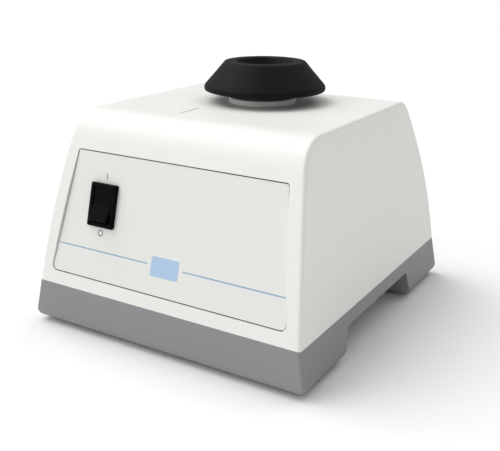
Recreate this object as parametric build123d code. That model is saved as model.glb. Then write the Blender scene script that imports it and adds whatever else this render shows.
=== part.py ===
"""A vortex mixer: a heavy little bench machine whose rubber cup runs round a small circle to stir a test tube.

X is the width, -Y the front and +Z up. The origin is on the bench, under the middle of the machine. Millimetres.
A vertical motor turns a crank. The cup's carrier rides on the crank pin in a ball bearing, and studs that stand in
oversize holes in its flange keep it from turning, so that the cup orbits without spinning.
"""
from build123d import *
import math
import os

# ---- base tray ----
TRAY_WIDTH = 150.0
TRAY_DEPTH = 166.0
TRAY_HEIGHT = 19.7
TRAY_WALL = 3.5
TRAY_FLOOR = 3.0
TRAY_EDGE_ROUND = 3.5
SIDE_FLARE = 3.0
FRONT_FLARE = 1.5
BACK_FLARE = 1.2
FOOT_STAND = 2.0
FOOT_RADIUS = 7.0
FOOT_STEM_RADIUS = 2.5
FOOT_BEVEL = 0.4
FOOT_SIDE_INSET = 13.5
FOOT_END_INSET = 26.0

# ---- hand grips cut into both sides of the tray ----
GRIP_DEPTH = 20.0
GRIP_HEIGHT = 13.3
GRIP_FRONT = -43.5
GRIP_BACK = 39.5
GRIP_FRONT_SLANT = 7.0
GRIP_BACK_SLANT = 2.5
GRIP_FRONT_ROUND = 4.5
GRIP_BACK_ROUND = 1.0

# ---- housing ----
HOUSING_HEIGHT = 81.3
HOUSING_WALL = 2.8
SIDE_LEAN = 11.6
FRONT_LEAN = 23.0
BACK_LEAN = 29.8
SIDE_BOW = 1.0
FRONT_BOW = 2.1
BACK_BOW = 4.5
FRONT_TOP_ROUND = 17.8
BACK_TOP_ROUND = 9.5
EDGE_ROUND = 1.6
TONGUE_HEIGHT = 2.0
TONGUE_THICK = 1.6
TONGUE_GAP = 0.2
BLANK_WIDTH = 32.0
BLANK_DEPTH = 15.0
BLANK_Y = -32.5
BLANK_SUNK = 0.3

# ---- front label ----
LABEL_LOW = 28.5
LABEL_HIGH = 85.6
LABEL_TOP_WIDTH = 112.0
LABEL_BOTTOM_WIDTH = 128.6
LABEL_THICK = 0.6
LABEL_SUNK = 0.35
LABEL_GAP = 0.5
LABEL_BOTTOM_ROUND = 2.4
LABEL_TOP_ROUND = 0.8

# ---- rocker switch ----
SWITCH_X = -37.6
SWITCH_Z = 62.2
BEZEL_LAP = 0.55
BEZEL_SIDE_LAP = 0.9
BEZEL_THICK = 2.0
BEZEL_CORNER = 0.8
BEZEL_ROUND = 0.6
SWITCH_WALL = 0.8
SWITCH_SIDE_WALL = 1.1
SWITCH_BODY_DEPTH = 14.0
SWITCH_CUT_GAP = 0.1
ROCKER_WIDTH = 10.6
ROCKER_RADIUS = 8.6
ROCKER_GAP = 0.3
ROCKER_SIDE_GAP = 0.2
ROCKER_HOLLOW = 2.6
ROCKER_UNDER = 4.0
ROCKER_TILT = 9.0
ROCKER_ROUND = 0.4
PIVOT_SUNK = 1.0
PIVOT_RADIUS = 1.2
PIVOT_GAP = 0.05
TAB_WIDTH = 4.8
TAB_THICK = 0.8
TAB_LENGTH = 8.0
TAB_OFFSET = 5.0

# ---- drive ----
ORBIT_RADIUS = 2.25
CUP_Y = 12.0
SHAFT_RADIUS = 3.0
BEARING_RADIUS = 9.5
BEARING_WIDTH = 6.0
BEARING_LAND = 2.0
RUNNING_GAP = 0.05

# ---- heavy plate, motor bracket and rubber mounts ----
PLATE_WIDTH = 100.0
PLATE_DEPTH = 130.0
PLATE_THICK = 6.0
PLATE_FORWARD = 5.0
PLATE_CORNER = 6.0
DAMPER_HEIGHT = 12.0
DAMPER_RADIUS = 7.0
DAMPER_WAIST = 1.2
DAMPER_X = 38.0
DAMPER_Y = 34.0
BRACKET_WIDTH = 92.0
BRACKET_DEPTH = 84.0
BRACKET_THICK = 2.5
BRACKET_CORNER = 5.0

# ---- motor ----
CAN_RADIUS = 32.0
CAN_WALL = 4.5
CAN_HEIGHT = 39.0
CAN_FLOOR = 2.5
MOTOR_FLANGE = 66.0
MOTOR_FLANGE_CORNER = 4.0
END_PLATE_THICK = 3.0
END_SCREW_GRIP = 6.0
CORE_HEIGHT = 22.0
ROTOR_RADIUS = 16.0
AIR_GAP = 0.5
WINDING_HEIGHT = 4.5
WINDING_ROUND = 1.4
WINDING_INNER = 18.0
WINDING_OUTER = 26.0
SEAT_WALL = 2.5

# ---- crank and cup carrier ----
HUB_GAP = 1.0
HUB_RADIUS = 11.0
HUB_HEIGHT = 13.5
HUB_BRIDGE = 0.5
HUB_ON_SHAFT = 7.4
SET_SCREW_RISE = 2.8
WEIGHT_RADIUS = 23.0
WEIGHT_HEIGHT = 9.0
WEIGHT_BELOW_HUB = 1.5
SHOULDER_RADIUS = 4.5
SHOULDER_HEIGHT = 1.0
CLIP_RADIUS = 4.6
CLIP_THICK = 1.0
CLIP_SPLIT = 1.5
PIN_PAST_CLIP = 0.5
CARRIER_RADIUS = 13.0
CARRIER_ROOM = 1.5
CARRIER_SHOULDER = 2.0
FLANGE_RADIUS = 27.0
FLANGE_THICK = 3.0
STUB_RADIUS = 6.0
STUB_DEPTH_IN_CUP = 4.0
STUB_BEVEL = 0.6
STUD_CIRCLE = 19.0
STUD_RADIUS = 1.8
SLEEVE_RADIUS = 3.0
SLEEVE_GAP = 0.3
STUD_BOSS_RADIUS = 5.0
STUD_BOSS_GAP = 3.0
STUD_COVER = 1.0
SLEEVE_PAST_FLANGE = 2.0
COLLAR_GAP = 1.2
COLLAR_RADIUS = 17.0
COLLAR_LIP = 2.6
COLLAR_WALL = 1.5
COLLAR_LIP_ROUND = 0.8

# ---- cup ----
CUP_RIM_RADIUS = 30.7
CUP_RING_RADIUS = 20.2
CUP_CLEARANCE = 5.6
CUP_HEIGHT = 14.4
CUP_RIM_HEIGHT = 2.8
CUP_RIM_ROUND = 1.6
CUP_RING_ROUND = 0.9
CUP_MOUTH_ROUND = 1.0
CUP_SIDE_HOLLOW = 0.5
CUP_MOUTH_RADIUS = 14.7
CUP_BOWL_DEPTH = 8.5
CUP_BOWL_FLOOR = 5.0
CUP_BOWL_MIDDLE = 11.8
CUP_NECK_RADIUS = 10.0
CUP_UNDERCUT = 3.0
CUP_SKIRT = 5.0

# ---- mains inlet ----
INLET_Z = 47.0
INLET_SEAT_SPAN = 24.0
INLET_FLANGE_WIDTH = 50.0
INLET_FLANGE_HEIGHT = 23.0
INLET_FLANGE_THICK = 2.5
INLET_SUNK = 0.6
INLET_BODY_WIDTH = 28.0
INLET_BODY_HEIGHT = 20.0
INLET_BODY_DEPTH = 20.0
INLET_MOUTH_WIDTH = 24.5
INLET_MOUTH_HEIGHT = 16.8
INLET_MOUTH_DEPTH = 16.5
INLET_SCREW_SPACING = 40.0
INLET_GAP = 0.2
INLET_FLANGE_CORNER = 2.8
INLET_FLANGE_BEVEL = 0.5
INLET_MOUTH_BEVEL = 4.5
PIN_THICK = 2.0
PIN_WIDTH = 4.0
PIN_TAIL = 6.0
PIN_PITCH = 7.0
PIN_RISE = 2.0
PIN_LENGTH = 15.0

# ---- electrics on the heavy plate ----
BOARD_WIDTH = 84.0
BOARD_DEPTH = 24.0
BOARD_THICK = 1.6
BOARD_STANDOFF = 6.0
BOARD_INSET = 4.0
STANDOFF_RADIUS = 2.6
STANDOFF_GRIP = 4.0
BOARD_GAP = 1.5
CAPACITOR_RADIUS = 8.0
CAPACITOR_LENGTH = 36.0
CAPACITOR_ROUND = 1.2
TERMINALS = 5
TERMINAL_PITCH = 6.0
TERMINAL_DEPTH = 10.0
TERMINAL_HEIGHT = 11.0
TERMINAL_HOLE = 1.8
TERMINAL_SINK = 5.0

# ---- screws ----
M2_5 = 1.25
M3 = 1.5
M4 = 2.0
HEAD_WIDTH = 1.8
HEAD_HEIGHT = 1.1
SOCKET_WIDTH = 0.85
SCREW_GAP = 0.2
HEAD_GAP = 0.4
CASE_SCREW_SIDE_INSET = 14.0
CASE_SCREW_END_INSET = 12.0
CASE_BOSS_RADIUS = 5.0
CASE_BOSS_TOP = 50.0
CASE_SCREW_SUNK = 10.0
CASE_SCREW_GRIP = 12.0
CASE_SLEEVE = 1.0
PLATE_SCREW_SUNK = 1.5
PLATE_SCREW_INSET = 8.0
THREAD_COVER = 1.0
MOTOR_SCREW_SPACING = 54.0

# ---- worked out from the sizes above ----
TRAY_TOP = FOOT_STAND + TRAY_HEIGHT
FOOT_X = TRAY_WIDTH / 2 - FOOT_SIDE_INSET
FOOT_Y = TRAY_DEPTH / 2 - FOOT_END_INSET
CASE_SCREW_X = TRAY_WIDTH / 2 - CASE_SCREW_SIDE_INSET
CASE_SCREW_Y = TRAY_DEPTH / 2 - CASE_SCREW_END_INSET
SWITCH_BODY_WIDTH = ROCKER_WIDTH + 2 * (ROCKER_SIDE_GAP + SWITCH_SIDE_WALL)
SWITCH_BODY_LENGTH = 2 * (ROCKER_RADIUS + ROCKER_GAP + SWITCH_WALL)
BEZEL_WIDTH = SWITCH_BODY_WIDTH + 2 * BEZEL_SIDE_LAP
BEZEL_LENGTH = SWITCH_BODY_LENGTH + 2 * BEZEL_LAP
TOP = TRAY_TOP + HOUSING_HEIGHT
HALF_WIDTH = TRAY_WIDTH / 2 - SIDE_FLARE
FRONT = -TRAY_DEPTH / 2 + FRONT_FLARE
BACK = TRAY_DEPTH / 2 - BACK_FLARE
MOTOR_Y = CUP_Y - ORBIT_RADIUS
PLATE_BOTTOM = FOOT_STAND + TRAY_FLOOR
PLATE_TOP = PLATE_BOTTOM + PLATE_THICK
BRACKET_BOTTOM = PLATE_TOP + DAMPER_HEIGHT
CAN_BOTTOM = BRACKET_BOTTOM + BRACKET_THICK
CAN_TOP = CAN_BOTTOM + CAN_HEIGHT
CAN_INNER = CAN_RADIUS - CAN_WALL
END_TOP = CAN_TOP + END_PLATE_THICK
LOWER_BEARING = CAN_BOTTOM + CAN_FLOOR
UPPER_BEARING = CAN_TOP - BEARING_WIDTH
CORE_BOTTOM = (LOWER_BEARING + CAN_TOP - CORE_HEIGHT) / 2
INLET_SCREW_X = (-INLET_SCREW_SPACING / 2, INLET_SCREW_SPACING / 2)
HUB_BOTTOM = END_TOP + HUB_GAP
HUB_TOP = HUB_BOTTOM + HUB_HEIGHT
SHAFT_TOP = HUB_BOTTOM + HUB_ON_SHAFT
HEAD_BEARING = HUB_TOP + SHOULDER_HEIGHT
HEAD_BEARING_TOP = HEAD_BEARING + BEARING_WIDTH
PIN_TOP = HEAD_BEARING_TOP + CLIP_THICK + PIN_PAST_CLIP
FLANGE_BOTTOM = PIN_TOP + CARRIER_ROOM
FLANGE_TOP = FLANGE_BOTTOM + FLANGE_THICK
CUP_BOTTOM = TOP + CUP_CLEARANCE
CUP_TOP = CUP_BOTTOM + CUP_HEIGHT
STUD_TOP = TOP - STUD_COVER
INNER_RADIUS = SHAFT_RADIUS + BEARING_LAND
REACH = 200.0
CUT = 8.0


class Wall:
    """A bowed wall seen edge on: the arc through its low and high ends that stands out by bow at the middle."""

    def __init__(self, low, high, bow):
        self.out = 1 if low[0] > 0 else -1
        chord = math.dist(low, high)
        self.radius = chord**2 / (8 * bow) + bow / 2
        along = ((high[0] - low[0]) / chord, (high[1] - low[1]) / chord)
        normal = (self.out * along[1], -self.out * along[0])
        back_off = self.radius - bow
        self.centre = (
            (low[0] + high[0]) / 2 - normal[0] * back_off,
            (low[1] + high[1]) / 2 - normal[1] * back_off,
        )

    def at(self, z, inset=0.0):
        """How far out the wall, or a line inset from it, stands at height z."""
        rise = z - self.centre[1]
        return self.centre[0] + self.out * math.sqrt((self.radius - inset) ** 2 - rise**2)

    def arc(self, start, end, inset):
        """The line inset from the wall, from one height to another."""
        middle = (start + end) / 2
        return ThreePointArc(*((self.at(z, inset), z) for z in (start, middle, end)))

    def plane(self, low, high, sunk):
        """The flat through the wall at two heights, moved inwards by sunk. Its Y runs up and its Z out."""
        a = Vector(0, self.at(low), low)
        b = Vector(0, self.at(high), high)
        up = (b - a).normalized()
        side = Vector(-self.out, 0, 0)
        out = side.cross(up)
        return Plane(origin=(a + b) * 0.5 - out * sunk, x_dir=side, z_dir=out)


FRONT_WALL = Wall((FRONT, TRAY_TOP), (FRONT + FRONT_LEAN, TOP), FRONT_BOW)
BACK_WALL = Wall((BACK, TRAY_TOP), (BACK - BACK_LEAN, TOP), BACK_BOW)
SIDE_WALL = Wall((HALF_WIDTH, TRAY_TOP), (HALF_WIDTH - SIDE_LEAN, TOP), SIDE_BOW)
LABEL_PLANE = FRONT_WALL.plane(LABEL_LOW, LABEL_HIGH, LABEL_SUNK + LABEL_THICK)
LABEL_SLOPE = math.hypot(
    LABEL_HIGH - LABEL_LOW, FRONT_WALL.at(LABEL_HIGH) - FRONT_WALL.at(LABEL_LOW)
)
INLET_PLANE = BACK_WALL.plane(
    INLET_Z - INLET_SEAT_SPAN / 2, INLET_Z + INLET_SEAT_SPAN / 2, INLET_SUNK
)
SWITCH_RISE = (SWITCH_Z - LABEL_PLANE.origin.Z) / LABEL_PLANE.y_dir.Z
SWITCH_PLACE = LABEL_PLANE * Pos(SWITCH_X, SWITCH_RISE, LABEL_THICK)


def cylinder(radius, low, high, x=0.0, y=0.0):
    """An upright cylinder between two heights."""
    return Pos(x, y, low) * Cylinder(radius, high - low, align=(Align.CENTER, Align.CENTER, Align.MIN))


def ring(outer, inner, low, high, x=0.0, y=0.0):
    """An upright tube between two heights."""
    return cylinder(outer, low, high, x, y) - cylinder(inner, low, high, x, y)


def block(width, depth, low, high, x=0.0, y=0.0):
    """An upright box between two heights."""
    return Pos(x, y, low) * Box(width, depth, high - low, align=(Align.CENTER, Align.CENTER, Align.MIN))


def corners(x, y, y_mid=0.0):
    """Four places, x to each side of the middle and y in front of and behind y_mid."""
    return [(sx * x, y_mid + sy * y) for sx in (-1, 1) for sy in (-1, 1)]


def screw(radius, length):
    """A screw with its head's seat at z = 0 and its shank below, with a hexagon socket in the head."""
    height = radius * HEAD_HEIGHT
    socket = extrude(RegularPolygon(radius * SOCKET_WIDTH, 6), amount=height)
    head = cylinder(radius * HEAD_WIDTH, 0, height) - Pos(0, 0, height / 2) * socket
    return cylinder(radius, -length, 0) + head


def bowed_block(inset):
    """The housing's outside, moved inwards by inset and carried on below the tray's top."""
    low = TRAY_TOP - CUT
    roof = TOP - inset
    high = TOP + CUT
    front = FRONT_WALL.arc(low, roof, inset)
    back = BACK_WALL.arc(roof, low, inset)
    side_view = make_face([front, Line(front @ 1, back @ 0), back, Line(back @ 1, front @ 0)])
    by_height = side_view.vertices().group_by(Axis.Y)[-1]
    side_view = fillet(by_height.sort_by(Axis.X)[0], FRONT_TOP_ROUND - inset)
    by_height = side_view.vertices().group_by(Axis.Y)[-1]
    side_view = fillet(by_height.sort_by(Axis.X)[-1], BACK_TOP_ROUND - inset)
    right = SIDE_WALL.arc(low, high, inset)
    left = mirror(right, Plane.YZ)
    front_view = make_face([right, Line(right @ 1, left @ 1), left, Line(left @ 0, right @ 0)])
    lengthwise = extrude(Plane.YZ * side_view, amount=REACH, both=True)
    crosswise = extrude(Plane.XZ * front_view, amount=REACH, both=True)
    return lengthwise & crosswise


def above(part, z):
    """The part of a solid that stands above a height."""
    return part & block(REACH * 2, REACH * 2, z, z + REACH)


def label_outline():
    """The label's shape on its own plane: wider at the bottom, with rounder bottom corners."""
    half = LABEL_SLOPE / 2
    outline = make_face(
        Polyline(
            (-LABEL_TOP_WIDTH / 2, half),
            (LABEL_TOP_WIDTH / 2, half),
            (LABEL_BOTTOM_WIDTH / 2, -half),
            (-LABEL_BOTTOM_WIDTH / 2, -half),
            close=True,
        )
    )
    outline = fillet(outline.vertices().group_by(Axis.Y)[0], LABEL_BOTTOM_ROUND)
    return fillet(outline.vertices().group_by(Axis.Y)[-1], LABEL_TOP_ROUND)


def housing():
    """The white shell, open below, with its label seat, switch and inlet cut-outs, bosses and top opening."""
    outside = above(bowed_block(0), TRAY_TOP)
    sharp = [e for e in outside.edges() if e.center().Z > TRAY_TOP + 1 and abs(e.center().X) > 1]
    outside = fillet(sharp, EDGE_ROUND)
    shell = outside - bowed_block(HOUSING_WALL)
    for x, y in corners(CASE_SCREW_X, CASE_SCREW_Y):
        shell += cylinder(CASE_BOSS_RADIUS, TRAY_TOP, CASE_BOSS_TOP, x, y) & outside
    for x, y in stud_places():
        shell += cylinder(STUD_BOSS_RADIUS, FLANGE_TOP + STUD_BOSS_GAP, STUD_TOP, x, y)
        shell -= cylinder(STUD_RADIUS, 0, STUD_TOP, x, y)
    for x, y in corners(CASE_SCREW_X, CASE_SCREW_Y):
        shell -= cylinder(M4, 0, TRAY_TOP + CASE_SCREW_GRIP, x, y)
    seat = offset(label_outline(), amount=LABEL_GAP)
    shell -= LABEL_PLANE * extrude(seat, amount=CUT)
    shell -= SWITCH_PLACE * switch_hole()
    shell -= cylinder(collar_bore() + COLLAR_WALL, TOP - CUT, TOP + CUT, 0, MOTOR_Y)
    shell -= block(BLANK_WIDTH, BLANK_DEPTH, TOP - BLANK_SUNK, TOP + CUT, 0, BLANK_Y)
    flange = offset(inlet_flange(), amount=INLET_GAP)
    body = Rectangle(INLET_BODY_WIDTH + 2 * INLET_GAP, INLET_BODY_HEIGHT + 2 * INLET_GAP)
    shell -= INLET_PLANE * extrude(flange, amount=CUT)
    shell -= INLET_PLANE * extrude(body, amount=CUT, both=True)
    for x in INLET_SCREW_X:
        shell -= INLET_PLANE * cylinder(M3, -CUT, 0, x, 0)
    return shell


def inlet_flange():
    """The mains inlet's flange, flat."""
    return RectangleRounded(INLET_FLANGE_WIDTH, INLET_FLANGE_HEIGHT, INLET_FLANGE_CORNER)


def tray_block(inset):
    """The tray's flared outside, moved inwards by inset. It is full size just above its rounded bottom edge."""
    more = TRAY_EDGE_ROUND / (TRAY_HEIGHT - TRAY_EDGE_ROUND)
    low_front = -TRAY_DEPTH / 2 - FRONT_FLARE * more
    low_back = TRAY_DEPTH / 2 + BACK_FLARE * more
    faces = []
    for z, half, front, back in (
        (FOOT_STAND, TRAY_WIDTH / 2 + SIDE_FLARE * more, low_front, low_back),
        (TRAY_TOP, HALF_WIDTH, FRONT, BACK),
    ):
        depth = back - front - 2 * inset
        faces.append(Pos(0, (front + back) / 2, z) * Rectangle(2 * (half - inset), depth))
    return loft(faces)


def grip(side, grow):
    """The hand grip's space on one side, made larger all round by grow."""
    low = FOOT_STAND - 6
    roof = FOOT_STAND + GRIP_HEIGHT
    front_slope = GRIP_FRONT_SLANT / GRIP_HEIGHT
    back_slope = GRIP_BACK_SLANT / GRIP_HEIGHT
    outline = make_face(
        Polyline(
            (GRIP_FRONT + front_slope * (low - FOOT_STAND), low),
            (GRIP_FRONT + GRIP_FRONT_SLANT, roof),
            (GRIP_BACK - GRIP_BACK_SLANT, roof),
            (GRIP_BACK - back_slope * (low - FOOT_STAND), low),
            close=True,
        )
    )
    outline = fillet(outline.vertices().group_by(Axis.Y)[-1].sort_by(Axis.X)[0], GRIP_FRONT_ROUND)
    outline = fillet(outline.vertices().group_by(Axis.Y)[-1].sort_by(Axis.X)[-1], GRIP_BACK_ROUND)
    if grow:
        outline = offset(outline, amount=grow, kind=Kind.INTERSECTION)
    start = TRAY_WIDTH / 2 - GRIP_DEPTH - grow
    space = Plane.YZ.offset(start) * extrude(outline, amount=GRIP_DEPTH * 2)
    return space if side > 0 else mirror(space, Plane.YZ)


def base_tray():
    """The grey tray: flared walls, a floor, a hand grip each side, screw bosses and a tongue for the housing."""
    outside = tray_block(0)
    upright = [e for e in outside.edges() if abs(e.tangent_at(0.5).Z) > 0.5]
    outside = fillet(upright, EDGE_ROUND)
    outside = fillet(outside.edges().group_by(Axis.Z)[0], TRAY_EDGE_ROUND)
    hollow = above(tray_block(TRAY_WALL), FOOT_STAND + TRAY_FLOOR)
    for side in (-1, 1):
        hollow -= grip(side, TRAY_WALL)
    tray = outside - hollow
    for side in (-1, 1):
        tray -= grip(side, 0)
    tongue = bowed_block(HOUSING_WALL + TONGUE_GAP) - bowed_block(HOUSING_WALL + TONGUE_GAP + TONGUE_THICK)
    tray += tongue & block(REACH, REACH, TRAY_TOP - TONGUE_HEIGHT, TRAY_TOP + TONGUE_HEIGHT)
    for x, y in corners(CASE_SCREW_X, CASE_SCREW_Y):
        tray += cylinder(CASE_BOSS_RADIUS + CASE_SLEEVE, PLATE_BOTTOM, TRAY_TOP, x, y)
        tray -= cylinder(CASE_BOSS_RADIUS + SCREW_GAP, TRAY_TOP, TRAY_TOP + CUT, x, y)
        tray -= cylinder(M4 + SCREW_GAP, 0, TRAY_TOP, x, y)
        tray -= cylinder(M4 * HEAD_WIDTH + HEAD_GAP, 0, FOOT_STAND + CASE_SCREW_SUNK, x, y)
    for x, y in corners(FOOT_X, FOOT_Y):
        tray -= cylinder(FOOT_STEM_RADIUS, 0, FOOT_STAND + TRAY_FLOOR, x, y)
    for x, y in plate_screw_places():
        tray -= cylinder(M4 + SCREW_GAP, 0, PLATE_BOTTOM, x, y)
        tray -= cylinder(M4 * HEAD_WIDTH + HEAD_GAP, 0, FOOT_STAND + PLATE_SCREW_SUNK, x, y)
    return tray


def foot(x, y):
    """A round rubber foot with a stem pushed through the tray's floor."""
    pad = cylinder(FOOT_RADIUS, 0, FOOT_STAND, x, y)
    pad = chamfer(pad.edges().group_by(Axis.Z)[0], FOOT_BEVEL)
    return pad + cylinder(FOOT_STEM_RADIUS, FOOT_STAND, FOOT_STAND + TRAY_FLOOR, x, y)


def case_screws():
    """The four long screws that hold the housing down on the tray."""
    seat = FOOT_STAND + CASE_SCREW_SUNK
    length = TRAY_TOP + CASE_SCREW_GRIP - seat
    one = Rot(180, 0, 0) * screw(M4, length)
    return Compound([Pos(x, y, seat) * one for x, y in corners(CASE_SCREW_X, CASE_SCREW_Y)])


def front_label():
    """The thin flat sheet in the housing's front, with a hole for the switch's body."""
    return LABEL_PLANE * extrude(label_outline(), amount=LABEL_THICK) - SWITCH_PLACE * switch_hole()


def switch_hole():
    """What the switch's body passes through, on the label's face."""
    width = SWITCH_BODY_WIDTH + 2 * SWITCH_CUT_GAP
    length = SWITCH_BODY_LENGTH + 2 * SWITCH_CUT_GAP
    return Box(width, length, SWITCH_BODY_DEPTH)


def rocker_axle(radius, length):
    """A round bar on the rocker's pivot line."""
    return Pos(0, 0, -PIVOT_SUNK) * Rot(0, 90, 0) * Cylinder(radius, length)


def switch_body():
    """The switch's frame and box, with the round pocket that the rocker swings in and its two pivot holes."""
    bezel = Box(BEZEL_WIDTH, BEZEL_LENGTH, BEZEL_THICK, align=(Align.CENTER, Align.CENTER, Align.MIN))
    bezel = fillet(bezel.edges().filter_by(Axis.Z), BEZEL_CORNER)
    bezel = fillet(bezel.edges().group_by(Axis.Z)[-1], BEZEL_ROUND)
    box = Box(
        SWITCH_BODY_WIDTH,
        SWITCH_BODY_LENGTH,
        SWITCH_BODY_DEPTH,
        align=(Align.CENTER, Align.CENTER, Align.MAX),
    )
    pocket = rocker_axle(ROCKER_RADIUS + ROCKER_GAP, ROCKER_WIDTH + 2 * ROCKER_SIDE_GAP)
    return SWITCH_PLACE * (bezel + box - pocket - rocker_axle(PIVOT_RADIUS + PIVOT_GAP, SWITCH_BODY_WIDTH))


def switch_rocker():
    """The rocker: a round-ended bar with a hollow V on top and two pivots, its upper end pressed in."""
    half = ROCKER_RADIUS
    rise = half * math.tan(math.radians(ROCKER_TILT))
    v_shape = make_face(
        Polyline(
            (-half, -ROCKER_UNDER),
            (-half, ROCKER_HOLLOW + rise),
            (0, ROCKER_HOLLOW),
            (half, ROCKER_HOLLOW + rise),
            (half, -ROCKER_UNDER),
            close=True,
        )
    )
    profile = v_shape & Circle(ROCKER_RADIUS)
    bar = extrude(Plane.YZ * profile, amount=ROCKER_WIDTH / 2, both=True)
    sides = [e for e in bar.edges() if abs(e.center().X) > 1 and e.center().Z > ROCKER_HOLLOW]
    bar = fillet(sides, ROCKER_ROUND)
    bar += Rot(0, 90, 0) * Cylinder(PIVOT_RADIUS, SWITCH_BODY_WIDTH - 2 * ROCKER_SIDE_GAP)
    return SWITCH_PLACE * Pos(0, 0, -PIVOT_SUNK) * Rot(-ROCKER_TILT, 0, 0) * bar


def switch_terminals():
    """The two flat tabs behind the switch."""
    tab = Box(TAB_WIDTH, TAB_THICK, TAB_LENGTH, align=(Align.CENTER, Align.CENTER, Align.MAX))
    return Compound([SWITCH_PLACE * Pos(0, y, -SWITCH_BODY_DEPTH) * tab for y in (-TAB_OFFSET, TAB_OFFSET)])


def power_inlet():
    """The mains inlet: a flange on the housing's back and a socket body inside it."""
    flange = extrude(inlet_flange(), amount=INLET_FLANGE_THICK)
    flange = chamfer(flange.edges().group_by(Axis.Z)[-1], INLET_FLANGE_BEVEL)
    body = Pos(0, 0, -INLET_BODY_DEPTH) * extrude(
        Rectangle(INLET_BODY_WIDTH, INLET_BODY_HEIGHT), amount=INLET_BODY_DEPTH
    )
    mouth = Rectangle(INLET_MOUTH_WIDTH, INLET_MOUTH_HEIGHT)
    mouth = chamfer(mouth.vertices().group_by(Axis.Y)[-1], INLET_MOUTH_BEVEL)
    mouth_floor = INLET_FLANGE_THICK - INLET_MOUTH_DEPTH
    inlet = flange + body - Pos(0, 0, mouth_floor) * extrude(mouth, amount=INLET_MOUTH_DEPTH)
    for x in INLET_SCREW_X:
        inlet -= cylinder(M3, 0, INLET_FLANGE_THICK, x, 0)
    for x, y in pin_places():
        inlet -= Pos(x, y, 0) * Box(PIN_THICK, PIN_WIDTH, INLET_BODY_DEPTH * 2)
    return INLET_PLANE * inlet


def pin_places():
    """Where the inlet's three pins stand on its face: earth above, the other two below."""
    return [(0, PIN_RISE), (-PIN_PITCH, -PIN_RISE), (PIN_PITCH, -PIN_RISE)]


def inlet_pins():
    """The inlet's three flat pins, with their tabs behind the socket."""
    tail = INLET_BODY_DEPTH + PIN_TAIL
    front = INLET_FLANGE_THICK - INLET_MOUTH_DEPTH + PIN_LENGTH
    pin = Box(PIN_THICK, PIN_WIDTH, tail + front, align=(Align.CENTER, Align.CENTER, Align.MAX))
    return Compound([INLET_PLANE * Pos(x, y, front) * pin for x, y in pin_places()])


def inlet_screws():
    """The two screws that hold the inlet's flange."""
    one = screw(M3, INLET_FLANGE_THICK + HOUSING_WALL)
    return Compound([INLET_PLANE * Pos(x, 0, INLET_FLANGE_THICK) * one for x in INLET_SCREW_X])


def plate_screw_places():
    """Where the heavy plate is screwed to the tray's floor."""
    x = PLATE_WIDTH / 2 - PLATE_SCREW_INSET
    y = PLATE_DEPTH / 2 - PLATE_SCREW_INSET
    return corners(x, y, MOTOR_Y - PLATE_FORWARD)


def ballast_plate():
    """The heavy steel plate on the tray's floor, tapped for its own screws, the rubber mounts and the board."""
    plate = block(PLATE_WIDTH, PLATE_DEPTH, PLATE_BOTTOM, PLATE_TOP, 0, MOTOR_Y - PLATE_FORWARD)
    plate = fillet(plate.edges().filter_by(Axis.Z), PLATE_CORNER)
    for x, y in plate_screw_places() + corners(DAMPER_X, DAMPER_Y, MOTOR_Y):
        plate -= cylinder(M4, 0, PLATE_TOP, x, y)
    for x, y in standoff_places():
        plate -= cylinder(M3, PLATE_TOP - STANDOFF_GRIP, PLATE_TOP, x, y)
    return plate


def plate_screws():
    """The four screws up through the tray's floor into the heavy plate."""
    seat = FOOT_STAND + PLATE_SCREW_SUNK
    one = Rot(180, 0, 0) * screw(M4, PLATE_TOP - THREAD_COVER - seat)
    return Compound([Pos(x, y, seat) * one for x, y in plate_screw_places()])


def damper(x, y):
    """A rubber bobbin between the heavy plate and the motor's bracket, with a waist."""
    middle = DAMPER_HEIGHT / 2
    outline = make_face(
        [
            Line((M4, 0), (DAMPER_RADIUS, 0)),
            ThreePointArc((DAMPER_RADIUS, 0), (DAMPER_RADIUS - DAMPER_WAIST, middle), (DAMPER_RADIUS, 2 * middle)),
            Line((DAMPER_RADIUS, 2 * middle), (M4, 2 * middle)),
            Line((M4, 2 * middle), (M4, 0)),
        ]
    )
    return Pos(x, y, PLATE_TOP) * revolve(Plane.XZ * outline, Axis.Z)


def damper_bolts():
    """The four bolts through the bracket and the rubber mounts into the heavy plate."""
    one = screw(M4, CAN_BOTTOM - PLATE_BOTTOM - THREAD_COVER)
    return Compound([Pos(x, y, CAN_BOTTOM) * one for x, y in corners(DAMPER_X, DAMPER_Y, MOTOR_Y)])


def motor_bracket():
    """The flat plate that carries the motor on its rubber mounts."""
    plate = block(BRACKET_WIDTH, BRACKET_DEPTH, BRACKET_BOTTOM, CAN_BOTTOM, 0, MOTOR_Y)
    plate = fillet(plate.edges().filter_by(Axis.Z), BRACKET_CORNER)
    for x, y in corners(DAMPER_X, DAMPER_Y, MOTOR_Y) + motor_screw_places():
        plate -= cylinder(M4, 0, CAN_BOTTOM, x, y)
    return plate


def motor_screw_places():
    """Where the motor's square foot is screwed to the bracket."""
    half = MOTOR_SCREW_SPACING / 2
    return corners(half, half, MOTOR_Y)


def motor_screws():
    """The four screws through the motor's foot into the bracket."""
    one = screw(M4, CAN_FLOOR + BRACKET_THICK + THREAD_COVER)
    return Compound([Pos(x, y, LOWER_BEARING) * one for x, y in motor_screw_places()])


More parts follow.
